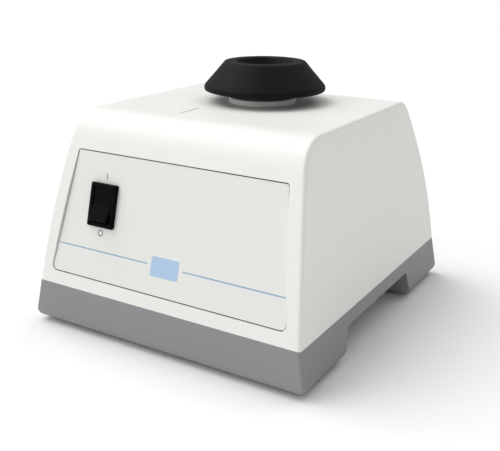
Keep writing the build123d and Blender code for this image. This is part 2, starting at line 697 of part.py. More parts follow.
def motor_can():
    """The motor's tube with a square foot and the lower bearing's seat."""
    foot_plate = block(MOTOR_FLANGE, MOTOR_FLANGE, CAN_BOTTOM, LOWER_BEARING, 0, MOTOR_Y)
    foot_plate = fillet(foot_plate.edges().filter_by(Axis.Z), MOTOR_FLANGE_CORNER)
    can = foot_plate + ring(CAN_RADIUS, CAN_INNER, CAN_BOTTOM, CAN_TOP, 0, MOTOR_Y)
    seat_top = LOWER_BEARING + BEARING_WIDTH
    can += ring(BEARING_RADIUS + SEAT_WALL, BEARING_RADIUS, LOWER_BEARING, seat_top, 0, MOTOR_Y)
    can -= cylinder(INNER_RADIUS, 0, LOWER_BEARING, 0, MOTOR_Y)
    for x, y in motor_screw_places():
        can -= cylinder(M4, 0, LOWER_BEARING, x, y)
        can -= cylinder(M4 * HEAD_WIDTH + HEAD_GAP, LOWER_BEARING, CAN_TOP, x, y)
    for x, y in end_screw_places():
        can -= cylinder(M2_5, CAN_TOP - END_SCREW_GRIP, CAN_TOP, x, y)
    return can


def end_screw_places():
    """Where the end plate is screwed to the motor's tube."""
    return round_places(CAN_RADIUS - CAN_WALL / 2, (0, 90, 180, 270))


def motor_end_plate():
    """The motor's upper cover, with the upper bearing's seat below it."""
    plate = ring(CAN_RADIUS, INNER_RADIUS, CAN_TOP, END_TOP, 0, MOTOR_Y)
    plate += ring(BEARING_RADIUS + SEAT_WALL, BEARING_RADIUS, UPPER_BEARING, CAN_TOP, 0, MOTOR_Y)
    for x, y in end_screw_places():
        plate -= cylinder(M2_5, 0, END_TOP, x, y)
    return plate


def end_plate_screws():
    """The four small screws in the end plate."""
    one = screw(M2_5, END_PLATE_THICK + END_SCREW_GRIP - THREAD_COVER)
    return Compound([Pos(x, y, END_TOP) * one for x, y in end_screw_places()])


def bearing_outer(low, y):
    """A shielded bearing's outer ring, with its shields and balls as one body."""
    return ring(BEARING_RADIUS, INNER_RADIUS + RUNNING_GAP, low, low + BEARING_WIDTH, 0, y)


def bearing_inner(low, y):
    """A bearing's inner ring, a press fit on its shaft."""
    return ring(INNER_RADIUS, SHAFT_RADIUS, low, low + BEARING_WIDTH, 0, y)


def stator_windings():
    """The two rings of coil ends above and below the stator's core."""
    rings = []
    for low in (CORE_BOTTOM - WINDING_HEIGHT, CORE_BOTTOM + CORE_HEIGHT):
        coil = ring(WINDING_OUTER, WINDING_INNER, low, low + WINDING_HEIGHT, 0, MOTOR_Y)
        rings.append(fillet(coil.edges().filter_by(GeomType.CIRCLE), WINDING_ROUND))
    return Compound(rings)


def crank_hub():
    """The turned hub on the motor's shaft, bored off centre for the crank pin."""
    hub = cylinder(HUB_RADIUS, HUB_BOTTOM, HUB_TOP, 0, MOTOR_Y)
    hub += cylinder(SHOULDER_RADIUS, HUB_TOP, HEAD_BEARING, 0, CUP_Y)
    hub -= cylinder(SHAFT_RADIUS, 0, SHAFT_TOP, 0, MOTOR_Y)
    hub -= cylinder(SHAFT_RADIUS, SHAFT_TOP + HUB_BRIDGE, TOP, 0, CUP_Y)
    return hub - set_screw()


def set_screw():
    """The grub screw that locks the hub to the shaft, from behind."""
    length = HUB_RADIUS - SHAFT_RADIUS
    bar = Rot(90, 0, 0) * Cylinder(M4, length)
    return Pos(0, MOTOR_Y + SHAFT_RADIUS + length / 2, HUB_BOTTOM + SET_SCREW_RISE) * bar


def hub_set_screw():
    """The grub screw itself, kept off the shaft's curve."""
    return set_screw() - cylinder(SHAFT_RADIUS, 0, TOP, 0, MOTOR_Y)


def counterweight():
    """The half disc opposite the crank pin, which balances the cup and its carrier."""
    top = HUB_TOP - WEIGHT_BELOW_HUB
    half_disc = cylinder(WEIGHT_RADIUS, top - WEIGHT_HEIGHT, top, 0, MOTOR_Y)
    half_disc &= block(REACH, REACH, 0, REACH, 0, MOTOR_Y - REACH / 2)
    return half_disc - cylinder(HUB_RADIUS, 0, TOP, 0, MOTOR_Y)


def pin_clip():
    """The retaining ring that holds the head bearing down on the crank pin."""
    low = HEAD_BEARING_TOP
    ring_clip = ring(CLIP_RADIUS, SHAFT_RADIUS, low, low + CLIP_THICK, 0, CUP_Y)
    return ring_clip - block(CLIP_SPLIT, REACH, low, low + CLIP_THICK, 0, CUP_Y - REACH / 2)


def round_places(radius, angles):
    """Places on a circle about the motor's axis."""
    turns = [math.radians(angle) for angle in angles]
    return [(radius * math.cos(turn), MOTOR_Y + radius * math.sin(turn)) for turn in turns]


def stud_places():
    """The three anti-turn studs' places."""
    return round_places(STUD_CIRCLE, (90, 210, 330))


def anti_turn_studs():
    """The three steel studs that hang from the housing's top through the carrier's oversize holes."""
    low = FLANGE_BOTTOM - SLEEVE_PAST_FLANGE
    return Compound([cylinder(STUD_RADIUS, low, STUD_TOP, x, y) for x, y in stud_places()])


def stud_sleeves():
    """The rubber sleeves on the studs, which roll round inside the carrier's holes."""
    low = FLANGE_BOTTOM - SLEEVE_PAST_FLANGE
    high = FLANGE_TOP + STUD_BOSS_GAP
    return Compound([ring(SLEEVE_RADIUS, STUD_RADIUS, low, high, x, y) for x, y in stud_places()])


def cup_carrier():
    """The carrier on the crank pin's bearing: a bearing seat, a flange with three holes, and the cup's stub."""
    carrier = cylinder(CARRIER_RADIUS, HEAD_BEARING, FLANGE_BOTTOM, 0, CUP_Y)
    carrier += cylinder(FLANGE_RADIUS, FLANGE_BOTTOM, FLANGE_TOP, 0, CUP_Y)
    stub_top = CUP_BOTTOM + STUB_DEPTH_IN_CUP
    stub = cylinder(STUB_RADIUS, FLANGE_TOP, stub_top, 0, CUP_Y)
    carrier += chamfer(stub.edges().group_by(Axis.Z)[-1], STUB_BEVEL)
    carrier -= cylinder(BEARING_RADIUS, 0, HEAD_BEARING_TOP, 0, CUP_Y)
    carrier -= cylinder(BEARING_RADIUS - CARRIER_SHOULDER, 0, FLANGE_BOTTOM, 0, CUP_Y)
    hole = SLEEVE_RADIUS + ORBIT_RADIUS + SLEEVE_GAP
    for x, y in stud_places():
        carrier -= cylinder(hole, FLANGE_BOTTOM, FLANGE_TOP, x, y + ORBIT_RADIUS)
    return carrier


def collar_bore():
    """The collar's inner radius: the orbiting neck and stub clear it."""
    return STUB_RADIUS + ORBIT_RADIUS + COLLAR_GAP


def drive_collar():
    """The plastic collar that lines the opening in the housing's top."""
    bore = collar_bore()
    collar = ring(bore + COLLAR_WALL, bore, TOP - HOUSING_WALL, TOP, 0, MOTOR_Y)
    lip = ring(COLLAR_RADIUS, bore, TOP, TOP + COLLAR_LIP, 0, MOTOR_Y)
    return collar + fillet(circles_at(lip, COLLAR_RADIUS, TOP + COLLAR_LIP), COLLAR_LIP_ROUND)


def circles_at(part, radius, height):
    """A turned part's round edges of one radius at one height."""
    edges = part.edges().filter_by(GeomType.CIRCLE)
    return [e for e in edges if abs(e.radius - radius) < 0.01 and abs(e.arc_center.Z - height) < 0.01]


def cup():
    """The black rubber cup: a cone with a rounded rim, a round bowl on top and a blind socket for the stub."""
    rim = CUP_RIM_HEIGHT
    side_end = (CUP_RING_RADIUS, CUP_HEIGHT)
    side_start = (CUP_RIM_RADIUS, rim)
    middle = ((side_start[0] + side_end[0]) / 2 - CUP_SIDE_HOLLOW, (rim + CUP_HEIGHT) / 2)
    bowl_low = CUP_HEIGHT - CUP_BOWL_DEPTH
    bowl_middle = (CUP_BOWL_MIDDLE, CUP_HEIGHT - CUP_BOWL_DEPTH / 2)
    inner_skirt = CUP_RIM_RADIUS - CUP_SKIRT
    outline = make_face(
        [
            Line((0, 0), (CUP_NECK_RADIUS, 0)),
            Line((CUP_NECK_RADIUS, 0), (CUP_NECK_RADIUS, CUP_UNDERCUT)),
            Line((CUP_NECK_RADIUS, CUP_UNDERCUT), (inner_skirt, CUP_UNDERCUT)),
            Line((inner_skirt, CUP_UNDERCUT), (inner_skirt, 0)),
            Line((inner_skirt, 0), (CUP_RIM_RADIUS, 0)),
            Line((CUP_RIM_RADIUS, 0), side_start),
            ThreePointArc(side_start, middle, side_end),
            Line(side_end, (CUP_MOUTH_RADIUS, CUP_HEIGHT)),
            ThreePointArc((CUP_MOUTH_RADIUS, CUP_HEIGHT), bowl_middle, (CUP_BOWL_FLOOR, bowl_low)),
            Line((CUP_BOWL_FLOOR, bowl_low), (0, bowl_low)),
            Line((0, bowl_low), (0, 0)),
        ]
    )
    body = revolve(Plane.XZ * outline, Axis.Z)
    for radius, height, round_off in (
        (CUP_RIM_RADIUS, 0, CUP_RIM_ROUND),
        (CUP_RIM_RADIUS, rim, CUP_RIM_ROUND),
        (CUP_RING_RADIUS, CUP_HEIGHT, CUP_RING_ROUND),
        (CUP_MOUTH_RADIUS, CUP_HEIGHT, CUP_MOUTH_ROUND),
    ):
        body = fillet(circles_at(body, radius, height), round_off)
    body = Pos(0, CUP_Y, CUP_BOTTOM) * body
    return body - cylinder(STUB_RADIUS, 0, CUP_BOTTOM + STUB_DEPTH_IN_CUP, 0, CUP_Y)


def board_y():
    """The circuit board's middle, in front of the motor's bracket."""
    return MOTOR_Y - BRACKET_DEPTH / 2 - BOARD_GAP - BOARD_DEPTH / 2


def standoff_places():
    """Where the circuit board's spacers stand."""
    return corners(BOARD_WIDTH / 2 - BOARD_INSET, BOARD_DEPTH / 2 - BOARD_INSET, board_y())


def board_standoffs():
    """The spacers under the circuit board, screwed into the heavy plate."""
    spacers = []
    for x, y in standoff_places():
        post = cylinder(STANDOFF_RADIUS, PLATE_TOP, PLATE_TOP + BOARD_STANDOFF, x, y)
        spacers.append(post + cylinder(M3, PLATE_TOP - STANDOFF_GRIP, PLATE_TOP, x, y))
    return Compound(spacers)


def circuit_board():
    """The small board that joins the inlet, the switch and the motor."""
    low = PLATE_TOP + BOARD_STANDOFF
    return block(BOARD_WIDTH, BOARD_DEPTH, low, low + BOARD_THICK, 0, board_y())


def run_capacitor():
    """The motor's capacitor, lying on the board."""
    low = PLATE_TOP + BOARD_STANDOFF + BOARD_THICK
    can = Rot(0, 90, 0) * Cylinder(CAPACITOR_RADIUS, CAPACITOR_LENGTH)
    can = fillet(can.edges().filter_by(GeomType.CIRCLE), CAPACITOR_ROUND)
    x = -BOARD_WIDTH / 2 + BOARD_INSET + CAPACITOR_LENGTH / 2
    return Pos(x, board_y(), low + CAPACITOR_RADIUS) * can


def terminal_block():
    """The row of screw terminals on the board."""
    low = PLATE_TOP + BOARD_STANDOFF + BOARD_THICK
    top = low + TERMINAL_HEIGHT
    width = TERMINALS * TERMINAL_PITCH
    start = BOARD_WIDTH / 2 - BOARD_INSET - width
    row = block(width, TERMINAL_DEPTH, low, top, start + width / 2, board_y())
    for i in range(TERMINALS):
        x = start + (i + 0.5) * TERMINAL_PITCH
        row -= cylinder(TERMINAL_HOLE, top - TERMINAL_SINK, top, x, board_y())
    return row


def all_nodes():
    """Every sub-part by its node's name."""
    stator_outer = CAN_INNER
    core_top = CORE_BOTTOM + CORE_HEIGHT
    nodes = {
        "housing": housing(),
        "base_tray": base_tray(),
        "case_screws": case_screws(),
        "front_label": front_label(),
        "switch_body": switch_body(),
        "switch_rocker": switch_rocker(),
        "switch_terminals": switch_terminals(),
        "power_inlet": power_inlet(),
        "inlet_pins": inlet_pins(),
        "inlet_screws": inlet_screws(),
        "ballast_plate": ballast_plate(),
        "plate_screws": plate_screws(),
        "motor_bracket": motor_bracket(),
        "damper_bolts": damper_bolts(),
        "motor_can": motor_can(),
        "motor_screws": motor_screws(),
        "motor_end_plate": motor_end_plate(),
        "end_plate_screws": end_plate_screws(),
        "stator_core": ring(stator_outer, ROTOR_RADIUS + AIR_GAP, CORE_BOTTOM, core_top, 0, MOTOR_Y),
        "stator_windings": stator_windings(),
        "rotor_core": ring(ROTOR_RADIUS, SHAFT_RADIUS, CORE_BOTTOM, core_top, 0, MOTOR_Y),
        "motor_shaft": cylinder(SHAFT_RADIUS, LOWER_BEARING, SHAFT_TOP, 0, MOTOR_Y),
        "crank_hub": crank_hub(),
        "hub_set_screw": hub_set_screw(),
        "counterweight": counterweight(),
        "crank_pin": cylinder(SHAFT_RADIUS, SHAFT_TOP + HUB_BRIDGE, PIN_TOP, 0, CUP_Y),
        "pin_clip": pin_clip(),
        "cup_carrier": cup_carrier(),
        "cup": cup(),
        "drive_collar": drive_collar(),
        "anti_turn_studs": anti_turn_studs(),
        "stud_sleeves": stud_sleeves(),
        "circuit_board": circuit_board(),
        "board_standoffs": board_standoffs(),
        "run_capacitor": run_capacitor(),
        "terminal_block": terminal_block(),
    }
    for name, low, y in (
        ("lower_bearing", LOWER_BEARING, MOTOR_Y),
        ("upper_bearing", UPPER_BEARING, MOTOR_Y),
        ("head_bearing", HEAD_BEARING, CUP_Y),
    ):
        nodes[name + "_outer"] = bearing_outer(low, y)
        nodes[name + "_inner"] = bearing_inner(low, y)
    sides = ("front_left", "rear_left", "front_right", "rear_right")
    for side, (x, y) in zip(sides, corners(FOOT_X, FOOT_Y)):
        nodes["foot_" + side] = foot(x, y)
    for side, (x, y) in zip(sides, corners(DAMPER_X, DAMPER_Y, MOTOR_Y)):
        nodes["damper_" + side] = damper(x, y)
    return nodes


os.makedirs("parts", exist_ok=True)
for node_name, shape in all_nodes().items():
    export_step(shape, f"parts/{node_name}.step")
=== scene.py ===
import math

import bpy
import numpy as np
from bpy.props import FloatProperty, FloatVectorProperty, PointerProperty
from mathutils import Matrix, Vector


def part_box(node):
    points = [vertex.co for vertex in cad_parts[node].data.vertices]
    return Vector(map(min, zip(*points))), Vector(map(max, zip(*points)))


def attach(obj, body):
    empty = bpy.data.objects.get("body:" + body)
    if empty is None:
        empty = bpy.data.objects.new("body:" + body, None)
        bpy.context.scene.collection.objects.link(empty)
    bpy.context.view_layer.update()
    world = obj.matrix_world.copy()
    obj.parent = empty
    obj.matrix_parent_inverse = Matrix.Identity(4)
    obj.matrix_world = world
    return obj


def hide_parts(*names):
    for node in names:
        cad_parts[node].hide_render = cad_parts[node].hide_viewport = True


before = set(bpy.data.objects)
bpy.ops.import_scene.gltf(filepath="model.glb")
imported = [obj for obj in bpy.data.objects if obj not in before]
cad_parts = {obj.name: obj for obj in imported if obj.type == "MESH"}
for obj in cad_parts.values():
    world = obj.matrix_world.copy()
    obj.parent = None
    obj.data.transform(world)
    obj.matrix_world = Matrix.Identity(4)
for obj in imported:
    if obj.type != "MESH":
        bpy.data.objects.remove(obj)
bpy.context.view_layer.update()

bl_info = {
    "name": "Vortex mixer looks",
    "version": (1, 0, 0),
    "blender": (4, 5, 0),
    "location": "View3D > Sidebar > Mixer",
    "description": "Finishes the packed vortex mixer and adds its moulded cup and its printing",
    "category": "Object",
}

MM = 0.001
# the thickness of the label's sheet
LABEL_THICKNESS = 0.6 * MM
# edges that fold more sharply than this stay crisp
CREASE = math.radians(40)
PAPER = "#F7F7F7"
# the dark grey of the strip that paints the shade in the gap round the label
PAINTED_GAP_GREY = "#55565A"

# the three soft lights, by the setting that holds each one's strength: the way to each from the mixer
LIGHT_DIRECTIONS = {"back": (0.3, 0.8, 1.3), "left": (-0.9, 0, 1.3), "front": (-0.9, -1.2, 0.8)}

# the camera: where it stands round its target, in degrees and metres, and its lens
CAMERA_AZIMUTH, CAMERA_ELEVATION, CAMERA_ROLL = 30.809, 19.12, 0.524
CAMERA_DISTANCE = 0.400337
CAMERA_TARGET = (0.002997, -0.004385, 0.039798)
CAMERA_SHIFT = (-0.0042, 0.0034)
FOCAL_LENGTH, SENSOR_WIDTH = 55.64, 36.0


def linear(code):
    """The linear red, green and blue of an sRGB hex colour."""
    values = np.array([int(code[i : i + 2], 16) / 255 for i in (1, 3, 5)])
    light = np.where(values <= 0.04045, values / 12.92, ((values + 0.055) / 1.055) ** 2.4)
    return tuple(float(v) for v in light)


def length(name, description, millimetres):
    """A length that the sidebar shows, given in millimetres."""
    return FloatProperty(
        name=name, description=description, default=millimetres * MM, unit="LENGTH", precision=5
    )


def shade(name, description, code):
    """A colour that the sidebar shows, given as an sRGB hex colour."""
    return FloatVectorProperty(
        name=name, description=description, subtype="COLOR", size=3, min=0, max=1, default=linear(code)
    )


def strength(name, description, value):
    """A light's strength that the sidebar shows, in watts to a square metre."""
    return FloatProperty(name=name, description=description, default=value, min=0)


class CupSizes(bpy.types.PropertyGroup):
    ring: length("Ring radius", "Outer radius of the flat ring round the bowl", 20.2)
    mouth: length("Mouth radius", "Radius of the bowl at its mouth", 14.7)
    bowl: length("Bowl depth", "Depth of the bowl below the ring", 8.5)
    floor: length("Bowl floor radius", "Radius of the flat at the bottom of the bowl", 5.0)
    rim: length("Rim height", "Height of the upright rim at the bottom", 2.3)
    stub: length("Socket radius", "Radius of the socket that takes the carrier's stub", 6.0)
    neck: length("Neck radius", "Radius of the solid middle of the underside", 10.0)
    undercut: length("Undercut", "Depth of the groove in the underside", 3.0)
    skirt: length("Skirt", "Width of the rim's underside", 5.0)


class PrintSizes(bpy.types.PropertyGroup):
    line_height: length("Line height", "Height of the printed line above the bench", 41.5)
    line_width: length("Line width", "Width of the printed line", 0.55)
    line_left: length("Line left end", "Left end of the printed line", -61.8)
    line_right: length("Line right end", "Right end of the printed line", 63.3)
    badge_middle: length("Badge middle", "Middle of the blank badge, across the front", 1.0)
    badge_width: length("Badge width", "Width of the blank badge", 15.2)
    badge_height: length("Badge height", "Height of the blank badge", 8.8)
    badge_gap: length("Badge gap", "Space between the badge and the line's two halves", 1.9)
    mark_size: length("Mark size", "Height of the marks for on and off", 3.0)
    mark_gap: length("Mark gap", "Space between the switch and its marks", 2.2)
    ink: length("Ink", "Thickness of the printing", 0.03)
    # the strip of painted shade in the gap round the label: its width, and its thickness below the label's
    # edge
    shade_strip_width: length("Shade strip width", "Width of the foam that shows round the label", 0.42)
    shade_strip_depth: length("Shade strip thickness", "Thickness of the foam under the label's edge", 0.25)


class Colours(bpy.types.PropertyGroup):
    housing: shade("Housing", "White of the moulded housing", "#F0EFEB")
    tray: shade("Tray", "Grey of the moulded tray", "#8A8B8D")
    label: shade("Label", "Grey white of the front label", "#E9E9E5")
    line: shade("Line", "Blue of the printed line", "#86A9CB")
    badge: shade("Badge", "Blue of the blank badge", "#AFCAE6")
    marks: shade("Marks", "Grey of the switch's marks", "#6E6E70")
    switch: shade("Switch", "Black of the switch", "#070708")
    rubber: shade("Rubber", "Black of the cup and the feet", "#131314")


class StageSettings(bpy.types.PropertyGroup):
    back: strength("Back light", "Strength of the soft light above and behind", 0.62)
    left: strength("Left light", "Strength of the soft light above, to the left", 1.85)
    front: strength("Front light", "Strength of the soft light from the front left", 0.74)
    sky: strength("Sky", "Strength of the even light from all round", 0.38)
    spread: FloatProperty(
        name="Spread",
        description="How wide each soft light looks from the object",
        default=math.radians(50),
        unit="ROTATION",
    )
    floor: FloatProperty(name="Floor radius", description="Radius of the floor", default=9.0, unit="LENGTH")


# ---- shapes ----


def rounded_outline(corners, steps=7):
    """An outline through corners given as radius, height and rounding.

    Each corner becomes a parabola that leaves both its sides smoothly: with w running from 0 to 1 between
    the two points where it starts and ends, a point is (1 - w) squared times the start, 2w(1 - w) times the
    corner and w squared times the end.
    """
    corners = np.array(corners, float)
    here, before, after = corners[1:-1, :2], corners[:-2, :2], corners[2:, :2]
    reach = corners[1:-1, 2:]
    back = (before - here) / np.linalg.norm(before - here, axis=1, keepdims=True)
    ahead = (after - here) / np.linalg.norm(after - here, axis=1, keepdims=True)
    start, end = here + back * reach, here + ahead * reach
    w = np.linspace(0, 1, steps)[None, :, None]
    curve = (1 - w) ** 2 * start[:, None] + 2 * w * (1 - w) * here[:, None] + w**2 * end[:, None]
    return np.vstack([corners[:1, :2], curve.reshape(-1, 2), corners[-1:, :2]])


def lathe(outline, centre, columns=160):
    """A surface of revolution about an upright axis.

    At height z and angle a, a point is the centre plus r cos a, r sin a and z, with r and z from the outline.
    """
    turn = np.linspace(0, 2 * np.pi, columns, endpoint=False)
    r, z = outline[:, :1], outline[:, 1:]
    return np.stack([centre[0] + r * np.cos(turn), centre[1] + r * np.sin(turn), z + 0 * turn], axis=-1)


def pad(middle, width, height, thickness, power=10, columns=96):
    """A thin printed pad on the label: a superellipse with a soft edge.

    At angle a its edge is half the width times cos a raised to 2/power with its sign kept, and half the
    height times the same of sin a. The rows run from the middle of the underside, out to the edge, up it,
    and in to the middle of the top.
    """
    turn = np.linspace(0, 2 * np.pi, columns, endpoint=False)
    across = np.sign(np.cos(turn)) * np.abs(np.cos(turn)) ** (2 / power) * width / 2
    along = np.sign(np.sin(turn)) * np.abs(np.sin(turn)) ** (2 / power) * height / 2
    inset = thickness * 0.6
    grow = np.array([[0, 0, 0, 0], [1, 1, 0, 0], [1, 1, 0.5, 0], [1, 1, 1, 1], [0, 0, 1, 0]], float)
    x = middle[0] + grow[:, :1] * (across - inset * grow[:, 3:] * np.sign(across))
    y = middle[1] + grow[:, 1:2] * (along - inset * grow[:, 3:] * np.sign(along))
    return on_label(x, y, grow[:, 2:3] * thickness + 0 * x)


def hoop(middle, radius, width, thickness, rows=12, columns=64):
    """A thin printed ring on the label: a flat ellipse carried round a circle.

    At angle a round the circle and b round the ellipse, the distance from the middle is the radius plus
    half the width times cos b, and the height is half the thickness times 1 + sin b.
    """
    turn = np.linspace(0, 2 * np.pi, columns, endpoint=False)
    section = np.linspace(0, 2 * np.pi, rows, endpoint=False)[:, None]
    far = radius + width / 2 * np.cos(section)
    high = thickness / 2 * (1 + np.sin(section))
    return on_label(middle[0] + far * np.cos(turn), middle[1] + far * np.sin(turn), high + 0 * turn)


def label_face():
    """The label's front face: a point on it, and its directions across, up and outwards."""
    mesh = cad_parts["front_label"].data
    normals = np.empty(len(mesh.polygons) * 3)
    areas = np.empty(len(mesh.polygons))
    centres = np.empty(len(mesh.polygons) * 3)
    mesh.polygons.foreach_get("normal", normals)
    mesh.polygons.foreach_get("area", areas)
    mesh.polygons.foreach_get("center", centres)
    normals, centres = normals.reshape(-1, 3), centres.reshape(-1, 3)
    main = normals[np.argmax(np.where(normals[:, 1] < -0.5, areas, 0))]
    front = normals @ main > 0.999
    out = np.average(normals[front], axis=0, weights=areas[front])
    out[0] = 0
    out /= np.linalg.norm(out)
    across = np.array([1.0, 0.0, 0.0])
    return np.average(centres[front], axis=0, weights=areas[front]), across, np.cross(out, across), out


def on_label(x, z, lift):
    """Points on the label, from their place across the front, their height above the bench and their lift."""
    point, across, up, out = label_face()
    x, z, lift = (np.asarray(v, float)[..., None] for v in (x, z, lift))
    return point + (x - point[0]) * across + (z - point[2]) / up[2] * up + lift * out


def label_bed(width, depth, corner=1.2 * MM, steps=8):
    """A strip of painted shade: dark grey, laid in the gap round the label where the recess's floor falls
    into shade.

    A flat box section is carried round the label's outline, a trapezium whose corners are rounded: at each
    corner the outline is a parabola, as in rounded_outline. A point of the strip is the outline's point plus
    the section's offset along the outline's outward normal, and plus its height along the label's own.
    """
    low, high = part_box("front_label")
    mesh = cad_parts["front_label"].data
    spots = np.empty(len(mesh.vertices) * 3)
    mesh.vertices.foreach_get("co", spots)
    spots = spots.reshape(-1, 3)
    # the label's half width near its top edge and near its bottom edge
    top_band, foot_band, flatness = 2 * MM, 4 * MM, 0.05 * MM
    top = np.abs(spots[spots[:, 2] > high.z - top_band, 0]).max()
    foot = np.abs(spots[spots[:, 2] < low.z + foot_band, 0]).max()
    # the heights of the front face's own top and bottom edges
    point, _, _, out = label_face()
    front = spots[np.abs((spots - point) @ out) < flatness]
    high_z, low_z = front[:, 2].max(), front[:, 2].min()
    trapezium = [(-foot, low_z), (foot, low_z), (top, high_z), (-top, high_z)]
    looped = [trapezium[-1], *trapezium, trapezium[0]]
    path = rounded_outline([(*place, corner) for place in looped], steps)[1:-1]
    ahead = np.roll(path, -1, axis=0) - np.roll(path, 1, axis=0)
    ahead /= np.linalg.norm(ahead, axis=1, keepdims=True)
    outward = np.stack([ahead[:, 1], -ahead[:, 0]], axis=1)
    section = np.array([(-0.5, 0.0), (0.5, 0.0), (0.5, 1.0), (-0.5, 1.0)])
    x = path[:, 0] + (section[:, :1] * width + width / 2) * outward[:, 0]
    z = path[:, 1] + (section[:, :1] * width + width / 2) * outward[:, 1]
    return on_label(x, z, section[:, 1:] * depth - LABEL_THICKNESS + 0 * x)


def skin(name, points, ring=False, smooth=True):
    """A closed mesh over a grid of points, whose columns join round.

    In a ring the rows join round too. Otherwise the first row and the last row each shrink to one point.
    Each quad joins a point to the next one along its row, and both to the two points above them.
    """
    rows, columns = points.shape[:2]
    index = np.arange(rows * columns).reshape(rows, columns)
    if not ring:
        index[0] = index[0, 0]
        index[-1] = index[-1, 0]
    low = index if ring else index[:-1]
    high = np.roll(index, -1, axis=0) if ring else index[1:]
    corners = [low, np.roll(low, -1, axis=1), np.roll(high, -1, axis=1), high]
    quads = np.stack(corners, axis=-1).reshape(-1, 4)
    used, again = np.unique(quads, return_inverse=True)
    quads = again.reshape(-1, 4)
    spots = points.reshape(-1, 3)[used]
    corners = spots[quads]
    # the volume that the faces enclose is negative when they point inwards, and then they are all turned
    turned = np.cross(corners[:, 2] - corners[:, 0], corners[:, 3] - corners[:, 1])
    if (turned * corners.mean(axis=1)).sum() < (turned.sum(axis=0) * spots.mean(axis=0)).sum():
        quads = quads[:, ::-1]
    faces = [list(dict.fromkeys(face)) for face in quads.tolist()]
    mesh = bpy.data.meshes.new(name)
    mesh.from_pydata(spots.tolist(), [], faces)
    if smooth:
        mesh.shade_smooth()
        mesh.set_sharp_from_angle(angle=CREASE)
    return mesh


def add_piece(name, points, material, body, ring=False, smooth=True, replaced=()):
    """Puts a new piece into the scene, on its body, with its material, and hides the CAD nodes that it
    replaces.
    """
    mesh = skin(name, points, ring, smooth)
    mesh.materials.append(material)
    piece = bpy.data.objects.new(name, mesh)
    bpy.context.scene.collection.objects.link(piece)
    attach(piece, body)
    if replaced:
        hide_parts(*replaced)
    return piece


def dress(material, *nodes):
    """Gives a material to CAD nodes."""
    for node in nodes:
        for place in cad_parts[node].material_slots:
            place.material = material


# ---- finishes ----


def add(tree, kind, inputs=(), **settings):
    """Adds a node. An input is a value or an output to link, and a setting is one of its own properties."""
    node = tree.nodes.new(kind)
    for name, value in settings.items():
        setattr(node, name, value)
    for name, value in dict(inputs).items():
        if isinstance(value, bpy.types.NodeSocket):
            tree.links.new(value, node.inputs[name])
        else:
            node.inputs[name].default_value = value
    return node


def start(name, colour, **values):
    """A new material: its one shader, with its fixed values on it, and the object's coordinates."""
    material = bpy.data.materials.new(name)
    material.use_nodes = True
    tree = material.node_tree
    tree.nodes.clear()
    sockets = {key.replace("_", " "): value for key, value in values.items()}
    shader = add(tree, "ShaderNodeBsdfPrincipled", {"Base Color": (*colour, 1), **sockets})
    add(tree, "ShaderNodeOutputMaterial", {"Surface": shader.outputs["BSDF"]})
    place = add(tree, "ShaderNodeTexCoord").outputs["Object"]
    return material, tree, shader, place


def noise(tree, place, size, detail=2.0, stretch=(1, 1, 1)):
    """Noise whose grains are of a given size, stretched along the axes."""
    mapped = add(tree, "ShaderNodeMapping", {"Vector": place, "Scale": [1 / s for s in stretch]})
    grains = add(
        tree, "ShaderNodeTexNoise", {"Vector": mapped.outputs[0], "Scale": 1 / size, "Detail": detail}
    )
    return grains.outputs["Fac"]


def bands(tree, place, period, direction="Z", kind="BANDS", centre=(0, 0, 0)):
    """Even bands, one to a period, across an axis or in rings about an upright one."""
    mapped = add(tree, "ShaderNodeMapping", {"Vector": place, "Location": [-c for c in centre]})
    settings = {"wave_type": kind, ("rings_direction" if kind == "RINGS" else "bands_direction"): direction}
    # the wave's own period is two pi over twenty at a scale of one
    scale = math.pi / 10 / period
    wave = add(tree, "ShaderNodeTexWave", {"Vector": mapped.outputs[0], "Scale": scale}, **settings)
    return wave.outputs["Fac"]


def emboss(tree, shader, pattern, depth):
    """Raises the surface by a pattern, depth metres from lowest to highest."""
    bump = add(tree, "ShaderNodeBump", {"Height": pattern, "Distance": depth, "Strength": 1.0})
    tree.links.new(bump.outputs["Normal"], shader.inputs["Normal"])


def vary(tree, shader, pattern, colour, spread, roughness=None, change=0.0):
    """Varies the colour a little either way with a pattern, and the roughness with it."""
    low = [c * (1 - spread) for c in colour]
    high = [min(1.0, c * (1 + spread)) for c in colour]
    # the mix's inputs by number: 0 is the factor, 6 and 7 the two colours, and output 2 is the colour
    tint = add(tree, "ShaderNodeMix", {0: pattern, 6: (*low, 1), 7: (*high, 1)}, data_type="RGBA")
    tree.links.new(tint.outputs[2], shader.inputs["Base Color"])
    if roughness is not None:
        span = add(
            tree,
            "ShaderNodeMapRange",
            {"Value": pattern, "To Min": roughness - change, "To Max": roughness + change},
        )
        tree.links.new(span.outputs["Result"], shader.inputs["Roughness"])


def spark_textured_abs(name, colour, roughness=0.42, grain=0.45, depth=0.006):
    """ABS moulded in a spark-eroded tool: an even satin sheen, broken by a fine grain."""
    material, tree, shader, place = start(name, colour, Roughness=roughness, IOR=1.53)
    vary(tree, shader, noise(tree, place, 18 * MM), colour, 0.012, roughness, 0.04)
    # real grain of about 0.1 mm is too fine to show, so it is drawn at about 0.45 mm
    emboss(tree, shader, noise(tree, place, grain * MM, 3.0), depth * MM)
    return material


def velvet_polycarbonate(name, colour):
    """A label of velvet-finished polycarbonate film: flat and even, with the softest sheen on the front."""
    material, tree, shader, place = start(name, colour, Roughness=0.5, IOR=1.58)
    vary(tree, shader, noise(tree, place, 25 * MM), colour, 0.01, 0.5, 0.03)
    # the film's velvet of about 0.05 mm is drawn at 0.3 mm
    emboss(tree, shader, noise(tree, place, 0.3 * MM, 2.0), 0.002 * MM)
    return material


